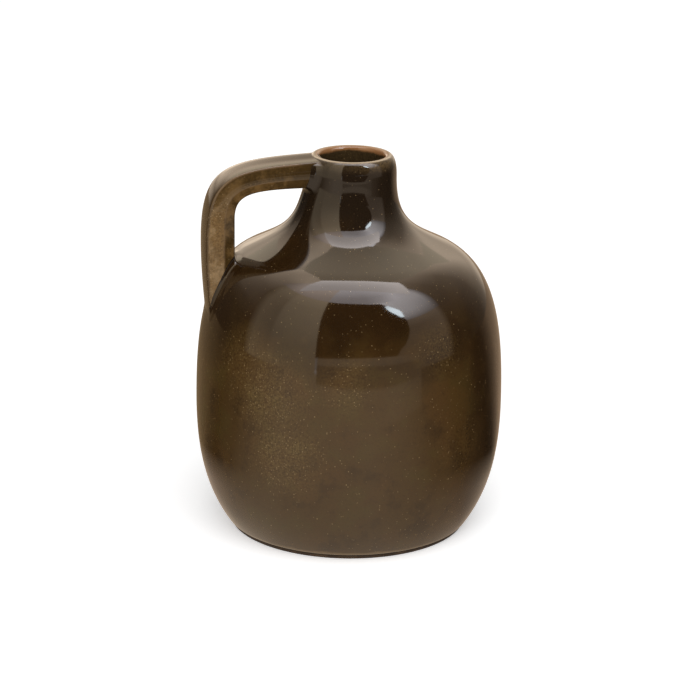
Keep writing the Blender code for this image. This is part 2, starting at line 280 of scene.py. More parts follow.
def gridOver(columns, rows):
    # A grid whose points know their column and row
    grid = addNode(rows.id_data, "GeometryNodeMeshGrid", {"Vertices X": columns, "Vertices Y": rows})
    index = addNode(rows.id_data, "GeometryNodeInputIndex").outputs["Index"]
    column = calc("FLOOR", calc("DIVIDE", plus(index, 0.5), rows))
    return grid.outputs["Mesh"], column, minus(index, times(column, rows))


def pointCount(mesh):
    size = addNode(mesh.id_data, "GeometryNodeAttributeDomainSize", {"Geometry": mesh}, component="MESH")
    return size.outputs["Point Count"]


def sampled(mesh, value, index, dataType="FLOAT_VECTOR"):
    given = {"Geometry": mesh, "Value": value, "Index": index}
    kind = "GeometryNodeSampleIndex"
    return addNode(mesh.id_data, kind, given, data_type=dataType, domain="POINT").outputs["Value"]


def attribute(tree, name, dataType="FLOAT"):
    kind = "GeometryNodeInputNamedAttribute"
    return addNode(tree, kind, {"Name": name}, data_type=dataType).outputs["Attribute"]


def moved(mesh, place):
    node = addNode(mesh.id_data, "GeometryNodeSetPosition", {"Geometry": mesh, "Position": place})
    return node.outputs["Geometry"]


def turnedTree():
    # Spins a profile round the axis, starting at the handle, and swells its outside there
    inputs = {"Geometry": "Geometry", "Steps": vaseForm["turnSteps"], **saddle}
    inputs.update({"Merge Distance": 1e-6, "Material": "Material"})
    tree, given, made = newTree("turnedForm", "GeometryNodeTree", inputs, ["Geometry"])
    seed = given["Geometry"]
    mesh, column, row = gridOver(plus(given["Steps"], 1.0), pointCount(seed))
    position = addNode(tree, "GeometryNodeInputPosition").outputs["Position"]
    profile = splitPlace(sampled(seed, position, row))
    outside = sampled(seed, attribute(tree, "outside"), row, "FLOAT")
    angle = times(calc("DIVIDE", column, given["Steps"]), 2.0 * math.pi)
    fromHandle = minus(math.pi, calc("ABSOLUTE", minus(angle, math.pi)))
    rise = calc("DIVIDE", minus(profile["Z"], given["Swell Height"]), given["Swell Half Height"])
    turn = calc("DIVIDE", fromHandle, given["Swell Half Angle"])
    squares = plus(calc("POWER", calc("ABSOLUTE", rise), 4.0), times(turn, turn))
    fullness = calc("EXPONENT", times(squares, -1.0))
    radius = plus(profile["X"], times(fullness, given["Swell"], outside))
    sides = {
        "X": times(calc("COSINE", angle), radius, -1.0),
        "Y": times(calc("SINE", angle), radius),
        "Z": profile["Z"],
    }
    place = addNode(tree, "ShaderNodeCombineXYZ", sides).outputs["Vector"]
    finishForm(moved(mesh, place), given, made)
    return tree


def strapTree():
    # Sweeps a section along the strap. The rail's points are its outer line, each with the point
    # of the inner line that it is paired with, and with 0 for fullness where the end closes.
    inputs = {"Geometry": "Geometry", "Section": "Object", "Merge Distance": 1e-6, "Material": "Material"}
    tree, given, made = newTree("strapSweep", "GeometryNodeTree", inputs, ["Geometry"])
    rail = given["Geometry"]
    section = addNode(tree, "GeometryNodeObjectInfo", {"Object": given["Section"]}).outputs["Geometry"]
    mesh, station, around = gridOver(pointCount(rail), pointCount(section))
    position = addNode(tree, "GeometryNodeInputPosition").outputs["Position"]
    outer = sampled(rail, position, station)
    inner = sampled(rail, attribute(tree, "innerPoint", "FLOAT_VECTOR"), station)
    fullness = sampled(rail, attribute(tree, "fullness"), station, "FLOAT")
    spot = splitPlace(sampled(section, position, around))
    share = scaled(times(spot["Y"], fullness), 0.5, 0.5)
    ends = {0: share, 4: inner, 5: outer}
    middle = addNode(tree, "ShaderNodeMix", ends, data_type="VECTOR", clamp_factor=False).outputs[1]
    lateral = addNode(tree, "ShaderNodeCombineXYZ", {"Y": times(spot["X"], fullness)}).outputs["Vector"]
    place = addNode(tree, "ShaderNodeVectorMath", {0: middle, 1: lateral}, operation="ADD")
    marks = {"Geometry": moved(mesh, place.outputs["Vector"]), "Name": "outward", "Value": spot["Y"]}
    kind = "GeometryNodeStoreNamedAttribute"
    marked = addNode(tree, kind, marks, data_type="FLOAT", domain="POINT")
    finishForm(marked.outputs["Geometry"], given, made)
    return tree


def addValues(mesh, name, values):
    # Numbers or vectors that the mesh's points carry, for the trees and the finishes
    values = np.asarray(values, np.float32)
    kind, field = ("FLOAT_VECTOR", "vector") if values.ndim == 2 else ("FLOAT", "value")
    mesh.attributes.new(name, kind, "POINT").data.foreach_set(field, values.ravel())


def lineMesh(name, points, **values):
    mesh = bpy.data.meshes.new(name)
    mesh.from_pydata([tuple(p) for p in points], [(i, i + 1) for i in range(len(points) - 1)], [])
    for label, numbers in values.items():
        addValues(mesh, label, numbers)
    return mesh


def newObject(name, data):
    made = bpy.data.objects.new(name, data)
    bpy.context.scene.collection.objects.link(made)
    return made


def outwardFaces(made, sharpFrom=math.radians(35)):
    bm = bmesh.new()
    bm.from_mesh(made.data)
    bmesh.ops.recalc_face_normals(bm, faces=bm.faces)
    if bm.calc_volume(signed=True) < 0.0:
        bmesh.ops.reverse_faces(bm, faces=bm.faces)
    bm.to_mesh(made.data)
    bm.free()
    made.data.shade_smooth()
    made.data.set_sharp_from_angle(angle=sharpFrom)


def settle(made, modifier):
    # The mesh that the modifier makes takes the place of the object's own
    bpy.context.view_layer.update()
    evaluated = made.evaluated_get(bpy.context.evaluated_depsgraph_get())
    mesh = bpy.data.meshes.new_from_object(evaluated)
    made.modifiers.remove(modifier)
    made.data = mesh
    outwardFaces(made)


def grown(name, seed, tree, **inputs):
    # Runs a tree on a seed mesh and keeps the plain result
    made = newObject(name, seed)
    modifier = made.modifiers.new("form", "NODES")
    modifier.node_group = tree
    for item in tree.interface.items_tree:
        if item.in_out == "INPUT" and item.name in inputs:
            modifier[item.identifier] = inputs[item.name]
    settle(made, modifier)
    return made


def keepNormals(made, wanted, likeness=0.75):
    # Corners at the given points take the given normals, where their face looks that way
    mesh = made.data
    normals = np.empty(len(mesh.loops) * 3, np.float32)
    mesh.corner_normals.foreach_get("vector", normals)
    normals = normals.reshape(-1, 3).astype(float)
    pointOf = np.empty(len(mesh.loops), np.int32)
    mesh.loops.foreach_get("vertex_index", pointOf)
    asked = wanted[pointOf]
    takes = np.einsum("ij,ij->i", normals, np.nan_to_num(asked)) > likeness
    normals[takes] = asked[takes]
    mesh.normals_split_custom_set(normals.tolist())


def joinNormals(made, height, sameHeight=1e-6, sameRadius=0.05 * mm):
    # Along the ring where two pieces meet, both take the form's own normal
    found = np.empty(len(made.data.vertices) * 3, np.float32)
    made.data.vertices.foreach_get("co", found)
    found = found.reshape(-1, 3).astype(float)
    wanted = np.full(found.shape, np.nan)
    for i in np.nonzero(np.abs(found[:, 2] - height) < sameHeight)[0]:
        radius, azimuth = np.hypot(found[i, 0], found[i, 1]), np.arctan2(found[i, 1], -found[i, 0])
        if abs(radius - formRadius(height, azimuth)) < sameRadius:
            wanted[i] = formNormal(height, azimuth)
    keepNormals(made, wanted)


def upright(line):
    # Points in the plane of the handle
    return np.column_stack([line[:, 0], np.zeros(len(line)), line[:, 1]])


def profileMesh(name, *stretches):
    # Stretches of (line, 1 where it is the vase's outside), as a closed profile
    rows = np.vstack([line for line, _ in stretches])
    outside = np.concatenate([np.full(len(line), share, float) for line, share in stretches])
    keep = distinct(rows, 1e-7)
    return lineMesh(name, upright(rows[keep]), outside=outside[keep])


def insideLine(v=vaseForm):
    # Inner wall from the floor up to the mouth: the wall's depth, and a straight bore above
    inner = offset(outline, -v["wall"])
    inner = inner[inner[:, 0] > v["mouthRadius"]]
    inner = inner[inner[:, 1] < v["neckHeight"] - v["boreDrop"]]
    rim = (v["mouthRadius"], v["lipHeight"] - v["rimDepth"])
    return joined(inner, cubic(inner[-1], (0, v["borePullUp"]), (0, -v["borePullDown"]), rim, steps=60))


def bodyProfile(v=vaseForm):
    radius, base, bevel = v["baseRadius"], v["baseHeight"], v["baseEdge"]
    wall = spaced(between(outline, base + bevel, v["seatHeight"]), v["rowSpacing"])
    edge = rounded((radius - bevel, base), (radius, base), wall[0], steps=8)
    floor, low = v["floorTop"], v["floorTop"] + v["floorCorner"]
    inside = spaced(between(insideLine(), low, v["seatHeight"]), v["insideSpacing"])[::-1]
    reach = inside[-1][0]
    corner = rounded(inside[-1], (reach, floor), (reach - v["floorCorner"], floor), steps=9)
    middle = np.array([(0.0, floor)])
    below = np.array([
        (0.0, v["floorUnderside"]),
        (v["grooveInside"], v["floorUnderside"]),
        (v["grooveInside"], v["grooveTop"]),
        (v["grooveOutside"], v["grooveTop"]),
        (v["grooveOutside"], base),
    ])
    rest = ((inside, 0), (corner, 0), (middle, 0))
    return profileMesh("bodyProfile", (below, 0), (edge, 0), (wall, 1), *rest)


def neckProfile(v=vaseForm):
    seat, top = v["seatHeight"], v["lipHeight"]
    wall = spaced(between(outline, seat, v["neckHeight"]), v["rowSpacing"] / 2)
    lip = spaced(outline[outline[:, 1] >= v["neckHeight"]], v["rowSpacing"] / 3)
    inner = insideLine()
    edge = rounded((v["crownRadius"], top), (v["mouthRadius"], top), inner[-1], steps=14)
    bore = spaced(between(inner, seat, top - v["rimDepth"]), v["boreSpacing"])[::-1]
    return profileMesh("neckProfile", (wall, 1), (lip, 1), (edge, 0), (bore, 0), (wall[:1], 1))


footRing = {
    "radius": 37.6 * mm,
    "width": 7.0 * mm,
    "outerEdge": 0.4 * mm,
    "innerEdge": 0.3 * mm,
    "show": 1.0 * mm,
    "tongueWidth": 3.5 * mm,
    "tongueTop": 3.0 * mm,
}


def footProfile(f=footRing):
    outer, inner, bevel, show = f["radius"], f["radius"] - f["width"], f["innerEdge"], f["show"]
    edge = rounded((outer - f["outerEdge"], 0.0), (outer, 0.0), (outer, f["outerEdge"]), steps=8)
    tongue = inner + f["tongueWidth"]
    rows = joined(
        [(inner, bevel), (inner + bevel, 0.0)],
        edge,
        [(outer, show), (tongue, show), (tongue, f["tongueTop"]), (inner, f["tongueTop"]), (inner, bevel)],
    )
    return profileMesh("footProfile", (rows, 0))


def shrunkForm(depth, spacing=1.0 * mm):
    # A solid a little smaller than the vase, to end the strap inside the wall
    inner = offset(outline, -depth)
    inner = spaced(inner[inner[:, 0] > 0.0], spacing)
    rows = np.vstack([[(0.0, inner[0, 1])], inner, [(0.0, inner[-1, 1])]])
    return lineMesh("shrunkForm", upright(rows), outside=rows[:, 0] > 0.0)


strap = {
    "width": 14.4 * mm,
    "belowLip": 0.2 * mm,
    "fall": math.radians(3.3),
    "inset": 1.6 * mm,  # how far its outer line stays inside the belly's width
    "bendDrop": 27.1 * mm,
    "pullLevel": 28.3 * mm,
    "pullUp": 24.8 * mm,
    "thicknessTop": 9.0 * mm,
    "thicknessSide": 9.6 * mm,
    "innerBendDrop": 9.0 * mm,
    "innerPullLevel": 21.7 * mm,
    "innerPullUp": 8.6 * mm,
    "landingDrop": 26.5 * mm,
    "landingSink": 2.3 * mm,
    "landingPull": 10.0 * mm,
    "landingLean": math.radians(6),
    "stations": 300,
    "fineStations": 1200,  # for the slip's faces
    "sectionSpacing": 0.022,  # in half widths
    "cutDepth": 1.1 * mm,
}


def strapRail(stations, s=strap, v=vaseForm):
    # Outer line of the strap from inside the neck to inside the shoulder, and its inner partners
    start, top = v["mouthRadius"], v["lipHeight"] - s["belowLip"]
    reach, bend = v["bellyRadius"] - s["inset"], top - s["bendDrop"]
    landing = v["shoulderHeight"] - s["landingDrop"]
    sunk = np.interp(landing, outline[:, 1], outline[:, 0]) - s["landingSink"]
    upwards = s["landingPull"] * direction(math.pi / 2 - s["landingLean"])
    outer = joined(
        cubic((start, top), s["pullLevel"] * direction(-s["fall"]), (0, s["pullUp"]), (reach, bend)),
        cubic((reach, bend), (0, -s["landingPull"]), upwards, (sunk, landing)),
    )
    under, fineSteps = top - s["thicknessTop"], 6 * lineSteps
    innerBend = (reach - s["thicknessSide"], under - s["innerBendDrop"])
    inner = joined(
        cubic((start, under), (s["innerPullLevel"], 0), (0, s["innerPullUp"]), innerBend, fineSteps),
        cubic(innerBend, (0, 0), (0, 0), (innerBend[0], landing), fineSteps),
    )
    rail = spaced(outer, lengths(outer)[-1] / (stations - 1))
    pairs = np.array([inner[np.argmin(np.linalg.norm(inner - point, axis=1))] for point in rail])
    return rail, pairs


def strapSection():
    # Half of the strap's outline, from the middle of its outer face to the middle of its inner
    # one: across in half widths, out in half thicknesses
    crown, edge, side = (0.0, 1.0), (0.86, 0.90), (0.925, 0.74)
    full, fold, heel, under = (1.0, 0.05), (0.985, -0.26), (0.86, -0.88), (0.66, -0.992)
    half = joined(
        cubic(crown, (0.45, 0.0), (-0.16, 0.055), edge, steps=60),
        rounded(edge, (0.905, 0.86), side, steps=24),
        cubic(side, (0.035, -0.22), (0.0, 0.26), full, steps=60),
        cubic(full, (0.0, -0.12), (0.006, 0.10), fold, steps=30),
        cubic(fold, (-0.02, -0.10), (0.03, 0.14), heel, steps=60),
        rounded(heel, (0.82, -0.99), under, steps=24),
        cubic(under, (-0.1, -0.005), (0.2, 0.0), (0.0, -1.0), steps=60),
    )
    half = spaced(half, strap["sectionSpacing"])
    return joined(half, half[::-1] * np.array([-1.0, 1.0]))


def strapRings(rail, pairs, section):
    # Rings of points round the strap, as the tree makes them
    mid, reach = (rail + pairs) / 2, (rail - pairs) / 2
    flat = mid[:, None, :] + section[None, :, 1:2] * reach[:, None, :]
    across = np.broadcast_to(section[:, 0] * strap["width"] / 2, flat.shape[:2])
    return np.stack([-flat[:, :, 0], across, flat[:, :, 1]], axis=2)


def makeStrap(tree, material, cutter):
    rail, pairs = strapRail(strap["stations"])
    section, handleSide = strapSection(), np.array([-1.0, 1.0])
    ends = [0, *range(len(rail)), len(rail) - 1]
    fullness = np.ones(len(ends))
    fullness[[0, -1]] = 0.0
    spots, inner = upright(rail[ends] * handleSide), upright(pairs[ends] * handleSide)
    seed = lineMesh("strapRail", spots, fullness=fullness, innerPoint=inner)
    across = np.column_stack([section[:, 0] * strap["width"] / 2, section[:, 1], np.zeros(len(section))])
    sectionObject = newObject("strapSection", lineMesh("strapSection", across))
    made = grown("strapHandle", seed, tree, Section=sectionObject, Material=material)
    bpy.data.objects.remove(sectionObject)
    trim = made.modifiers.new("trim", "BOOLEAN")
    trim.operation, trim.solver, trim.object = "DIFFERENCE", "MANIFOLD", cutter
    settle(made, trim)
    return made


# The slip round the handle's two ends. Its reaches run along the strap and over the vase.
upperSlip = {
    "onStrap": 2.4 * mm,
    "onVase": 2.3 * mm,
    "allRound": False,
    "start": math.radians(43),  # counted round the strap from its outer face
    "full": math.radians(56),
    "least": 0.04,
    "pull": 0.50,  # how round the face is between the strap and the vase
    "tilt": 0.15,  # how steeply it leaves the strap
    "bead": 0.0,
    "rows": 26,
}
lowerSlip = {
    "onStrap": 3.4 * mm,
    "onVase": 3.4 * mm,
    "allRound": True,
    "start": math.radians(20),
    "full": math.radians(62),
    "least": 0.45,
    "pull": 0.66,
    "tilt": 0.0,
    "bead": 0.09 * mm,  # how far the welt stands up beside the crease
    "rows": 34,
}
# The welt along the slip's face: middle and width, as shares of the way from strap to vase
welt = {
    "ridge": (0.72, 0.15),
    "dip": (0.42, 0.12),
    "dipShare": 0.5,
    "fade": 6.0,  # how fast it comes up from both edges
}


def facing(vector, way):
    # The vector at length 1, turned round if it points against the way
    found = unit(vector)
    return -found if found @ way < 0.0 else found


def bell(run, middle, width):
    return np.exp(-(((run - middle) / width) ** 2))


def weltShape(rows):
    run = np.linspace(0.0, 1.0, rows)
    fade = np.clip(welt["fade"] * (1.0 - run), 0.0, 1.0) * np.clip(welt["fade"] * run, 0.0, 1.0)
    return (bell(run, *welt["ridge"]) - welt["dipShare"] * bell(run, *welt["dip"])) * fade


def slipFace(line, around, centre, sizes, share, sink=0.35 * mm):
    # Face of the slip along one line of the strap, from the strap down to the vase
    radii = formRadius(line[:, 2], np.arctan2(line[:, 1], -line[:, 0]))
    clear, runs = np.hypot(line[:, 0], line[:, 1]) - radii, lengths(line)
    landed = int(np.argmax(clear < 0.0))
    part = clear[landed - 1] / (clear[landed - 1] - clear[landed])
    hitRun = runs[landed - 1] + part * (runs[landed] - runs[landed - 1])

    def at(run):
        return np.array([np.interp(run, runs, line[:, i]) for i in range(3)])

    def along(run, step=0.3 * mm):
        return unit(at(run + step) - at(run - step))

    hit, formOut = formPoint(at(hitRun))
    strapOut = facing(np.cross(around[landed], along(hitRun)), line[landed] - centre[landed])
    over = unit(strapOut - (strapOut @ formOut) * formOut)
    onStrap, onVase, pull = share * sizes["onStrap"], share * sizes["onVase"], sizes["pull"]
    back, way = at(hitRun - onStrap), along(hitRun - onStrap)
    foot, footOut = formPoint(hit + onVase * over)
    inwards = hit - foot
    inwards = unit(inwards - (inwards @ footOut) * footOut)
    leave = way + sizes["tilt"] * strapOut
    face = cubic(back, pull * onStrap * leave, pull * onVase * inwards, foot, sizes["rows"])
    lift = strapOut + formOut
    face += share * sizes["bead"] * weltShape(sizes["rows"])[:, None] * unit(lift)
    seat = np.array([foot - sink * footOut, hit - sink * lift, back - sink * strapOut])
    backOut = facing(np.cross(around[max(0, landed - 1)], way), strapOut)
    return np.vstack([face, seat]), (backOut, footOut)


def makeSlip(name, rings, section, sizes, material):
    # A loft of slip faces round the strap, closed underneath
    angles = np.arctan2(section[:, 0], section[:, 1]) % (2.0 * math.pi)
    centre, count, closed = rings.mean(axis=1), len(section) - 1, sizes["allRound"]
    bm, lines, normals = bmesh.new(), [], []
    for column in range(count):
        fromOuter = min(angles[column], 2.0 * math.pi - angles[column])
        if fromOuter < sizes["start"] and not closed:
            continue
        full = np.clip((fromOuter - sizes["start"]) / (sizes["full"] - sizes["start"]), 0.0, 1.0)
        share = sizes["least"] + (1.0 - sizes["least"]) * full * full * (3.0 - 2.0 * full)
        around = rings[:, (column + 1) % count] - rings[:, column - 1]
        spots, ends = slipFace(rings[:, column], around, centre, sizes, share)
        lines.append([bm.verts.new(spot) for spot in spots])
        normals.append(ends)
    size = len(lines[0])
    for near, far in zip(lines, lines[1:] + lines[:1] if closed else lines[1:]):
        for i in range(size):
            j = (i + 1) % size
            bm.faces.new((near[i], near[j], far[j], far[i]))
    if not closed:
        bm.faces.new(lines[0])
        bm.faces.new(lines[-1][::-1])
    mesh = bpy.data.meshes.new(name)
    bm.to_mesh(mesh)
    bm.free()
    made = newObject(name, mesh)
    mesh.materials.append(material)
    outwardFaces(made, sharpFrom=math.radians(60))
    wanted = np.full((len(lines), size, 3), np.nan)
    wanted[:, [0, sizes["rows"] - 1]] = normals
    keepNormals(made, wanted.reshape(-1, 3))
    run = np.zeros((len(lines), size))
    run[:, : sizes["rows"]] = np.linspace(0.0, 1.0, sizes["rows"])
    addValues(mesh, "slipRun", run.ravel())
    return made


# Finishes. Colours are linear.
glaze = {
    "high": (0.0225, 0.0104, 0.0032, 1.0),  # thick glaze on the shoulder
    "low": (0.059, 0.0300, 0.0082, 1.0),  # thinner on the belly and below
    "neck": (0.0168, 0.0097, 0.0050, 1.0),
    "olive": (0.062, 0.0375, 0.0095, 1.0),
    "amber": (0.070, 0.0325, 0.0085, 1.0),
    # dark pooled glaze in the grain, and also the painted crease shade on the lower slip joint
    "pooledAndShade": (0.0065, 0.0042, 0.0028, 1.0),
    "bloom": (0.125, 0.076, 0.024, 1.0),
    "fleck": (0.46, 0.31, 0.145, 1.0),
    "thin": (0.115, 0.070, 0.028, 1.0),  # breaking under the rim
    "rim": (0.30, 0.135, 0.050, 1.0),  # rust on the inner edge of the lip
    "cream": (0.42, 0.31, 0.20, 1.0),  # the crown of the lip: nearly bare glaze with a painted highlight
    # lighter inside the mouth: painted light over the shade in the bore
    "bore": (0.060, 0.038, 0.016, 1.0),
    # pale line along the base edge: thin glaze with a painted highlight
    "footLine": (0.150, 0.090, 0.038, 1.0),
    "roughness": 0.065,
}
# Where the glaze changes: two heights, and its share at each where that isn't 0 and 1
glazeBands = {
    "low": (54.0 * mm, 77.0 * mm, 1.0, 0.0),
    "neck": (92.0 * mm, 101.0 * mm),
    "breaking": (116.2 * mm, 119.2 * mm, 0.0, 0.8),
    "rim": (118.3 * mm, 119.2 * mm),
    "crown": (119.2 * mm, 119.7 * mm),
    # heights where the painted light inside the bore comes in
    "bore": (98.0 * mm, 108.0 * mm),
    "foot": (1.9 * mm, 2.9 * mm, 1.0, 0.0),
    "left": (22.0 * mm, 36.0 * mm, 1.0, 0.1),  # these two go across, away from the handle
    "right": (-7.0 * mm, 8.0 * mm, 0.35, 1.0),
    "wander": 26.0 * mm,  # how far a band's edge runs up and down
    "fineWander": 3.2 * mm,
}
# Where a bloom of gold specks lies in the glaze, in millimetres: its middle, its reach, and how
# strong it is. The last two are on the side that the picture hides.
blooms = (
    ((-32.0, -35.5, 54.0), 19.0, 1.0),
    ((-27.5, -39.5, 36.0), 17.0, 1.0),
    ((-38.0, -27.0, 62.0), 15.0, 0.6),
    ((-10.0, -46.5, 60.0), 12.0, 0.5),
    ((20.0, -42.5, 68.0), 11.0, 0.55),
    ((26.0, -38.0, 36.0), 14.0, 0.35),
    ((14.0, 44.0, 50.0), 22.0, 0.8),
    ((-30.0, 34.0, 34.0), 18.0, 0.7),
)
strapFinish = {
    "tan": (0.190, 0.105, 0.036, 1.0),
    "pale": (0.40, 0.27, 0.14, 1.0),
    "shade": (0.075, 0.041, 0.0125, 1.0),
    "dark": (0.040, 0.0215, 0.0060, 1.0),
    "outer": (0.052, 0.027, 0.0085, 1.0),
    "crest": (0.054, 0.028, 0.0088, 1.0),
    "arrisHighlight": (0.150, 0.088, 0.042, 1.0),
    "roughness": 0.11,
    "armHeights": (101.0 * mm, 112.5 * mm),  # between them the side's look turns into the arm's
    "arrisAt": 0.82,  # where the painted edge highlights lie, in half thicknesses, outwards and then inwards
    "foldAt": 0.27,
    "creaseSlope": 1.6,  # slope of the dark line over the shoulder, as height over distance: pooled glaze and painted crease shade
    "creaseHeight": 143.6 * mm,
}
bareClay = {
    "wash": (0.030, 0.017, 0.009, 1.0),
    "clay": (0.095, 0.058, 0.032, 1.0),
    "roughness": 0.72,
}


def noise(place, scale, detail, roughness, seed=0.0):
    given = {"Vector": place, "W": seed, "Scale": scale, "Detail": detail, "Roughness": roughness}
    return addNode(place.id_data, "ShaderNodeTexNoise", given, noise_dimensions="4D").outputs["Fac"]


def ramp(value, low, high, bottom=0.0, top=1.0):
    given = {"Value": value, "From Min": low, "From Max": high, "To Min": bottom, "To Max": top}
    kind = "ShaderNodeMapRange"
    return addNode(value.id_data, kind, given, interpolation_type="SMOOTHSTEP").outputs["Result"]


def mixed(mask, first, second):
    given = {0: mask, 6: first, 7: second}
    return addNode(mask.id_data, "ShaderNodeMix", given, data_type="RGBA").outputs[2]


def layered(base, colours, layers):
    # Colours laid over the base, each by its mask
    for mask, label in layers:
        base = mixed(mask, base, colours[label])
    return base


def objectPlace(tree):
    return addNode(tree, "ShaderNodeTexCoord").outputs["Object"]


def stored(tree, name):
    kind = "ShaderNodeAttribute"
    return addNode(tree, kind, attribute_type="GEOMETRY", attribute_name=name).outputs


def placed(tree, group, given):
    return addNode(tree, "ShaderNodeGroup", given, node_tree=group).outputs


def flowGroup():
    # Clouds in the glaze, a fine grain, and the slow ripple of its surface
    inputs = {"Cloud Scale": 55.0, "Grain Scale": 900.0, "Seed": 0.0}
    outputs = ["Cloud", "Patch", "Grain", "Ripple"]
    tree, given, made = newTree("glazeFlow", "ShaderNodeTree", inputs, outputs)
    place, seed, otherSeed = objectPlace(tree), given["Seed"], plus(given["Seed"], 11.0)
    feed(made["Cloud"], noise(place, given["Cloud Scale"], 3.0, 0.6, seed))
    feed(made["Patch"], noise(place, times(given["Cloud Scale"], 1.7), 4.0, 0.62, otherSeed))
    feed(made["Grain"], noise(place, given["Grain Scale"], 4.0, 0.7, seed))
    feed(made["Ripple"], noise(place, 80.0, 1.0, 0.4, 3.0))
    return tree


def speckGroup():
    # Fine round specks: more of them, and brighter, where the share is high
    inputs = {"Scale": 1300.0, "Share": 0.05, "Dot Size": 0.42}
    tree, given, made = newTree("glazeSpecks", "ShaderNodeTree", inputs, ["Specks"])
    spots = {"Vector": objectPlace(tree), "Scale": given["Scale"]}
    kind = "ShaderNodeTexVoronoi"
    cells = addNode(tree, kind, spots, voronoi_dimensions="3D", feature="F1").outputs
    pick = addNode(tree, "ShaderNodeSeparateColor", {0: cells["Color"]}).outputs
    size = times(given["Dot Size"], scaled(pick[2], 0.6, 0.4))
    dot = ramp(cells["Distance"], times(size, 0.45), size, 1.0, 0.0)
    chosen = calc("LESS_THAN", pick[0], given["Share"])
    feed(made["Specks"], times(dot, times(chosen, scaled(pick[1], 0.75, 0.25))))
    return tree


def bloomGroup():
    # How near a place is to one of the gold blooms, with cloudy edges
    inputs = {"Cloud": 0.5, "Raggedness": 1.6}
    tree, given, made = newTree("goldBloom", "ShaderNodeTree", inputs, ["Bloom"])
    place, total = objectPlace(tree), 0.0
    for middle, reach, strength in blooms:
        ends = {0: place, 1: [side * mm for side in middle]}
        away = addNode(tree, "ShaderNodeVectorMath", ends, operation="DISTANCE").outputs["Value"]
        total = calc("MAXIMUM", ramp(away, 0.15 * reach * mm, reach * mm, strength, 0.0), total)
    ragged = times(minus(given["Cloud"], 0.5), given["Raggedness"])
    feed(made["Bloom"], calc("MULTIPLY", total, plus(ragged, 0.72), clamp=True))
    return tree


def heightGroup(bands=glazeBands):
    # Where the glaze changes with height: thinner low down, another tone on the neck, breaking at
    # the lip, and the bare edge of the rim itself with a painted highlight on its crown. Inside the
    # bore it is painted lighter against the shade there, and the foot line is thin glaze with a painted
    # highlight
    inputs = {"Wander": 0.5, "Fine Wander": 0.5}
    outputs = ["Low", "Neck", "Breaking", "Rim", "Crown", "Bore", "Foot"]
    tree, given, made = newTree("glazeHeight", "ShaderNodeTree", inputs, outputs)
    x, y, height = splitPlace(objectPlace(tree))
    radius = calc("SQRT", plus(calc("POWER", x, 2.0), calc("POWER", y, 2.0)))
    loose = scaled(minus(given["Wander"], 0.5), bands["wander"], height)
    close = scaled(minus(given["Fine Wander"], 0.5), bands["fineWander"], height)
    mouth, crown = vaseForm["mouthRadius"], vaseForm["crownRadius"]
    outside = ramp(radius, crown - 0.2 * mm, crown + 0.3 * mm)
    inside = ramp(radius, crown - 0.1 * mm, crown + 0.25 * mm, 1.0, 0.0)
    fromCrown = calc("ABSOLUTE", minus(radius, crown + 0.15 * mm))
    onCrown = ramp(fromCrown, 0.25 * mm, 0.65 * mm, 1.0, 0.0)
    inBore = ramp(radius, mouth + 0.05 * mm, mouth + 0.4 * mm, 1.0, 0.0)
    feed(made["Low"], times(ramp(loose, *bands["low"]), ramp(x, *bands["left"])))
    feed(made["Neck"], ramp(loose, *bands["neck"]))
    feed(made["Breaking"], times(ramp(close, *bands["breaking"]), outside, ramp(x, *bands["right"])))
    feed(made["Rim"], times(ramp(close, *bands["rim"]), inside))
    feed(made["Crown"], times(onCrown, ramp(height, *bands["crown"])))
    feed(made["Bore"], times(inBore, ramp(height, *bands["bore"])))
    feed(made["Foot"], ramp(close, *bands["foot"]))
    return tree


def newMaterial(name, roughness):
    made = bpy.data.materials.new(name)
    made.use_nodes = True
    shader = made.node_tree.nodes["Principled BSDF"].inputs
    shader["Roughness"].default_value = roughness
    shader["IOR"].default_value = 1.5
    return made, made.node_tree, shader


def addBump(shader, height, strength, distance):
    given = {"Strength": strength, "Distance": distance, "Height": height}
    feed(shader["Normal"], addNode(height.id_data, "ShaderNodeBump", given).outputs["Normal"])


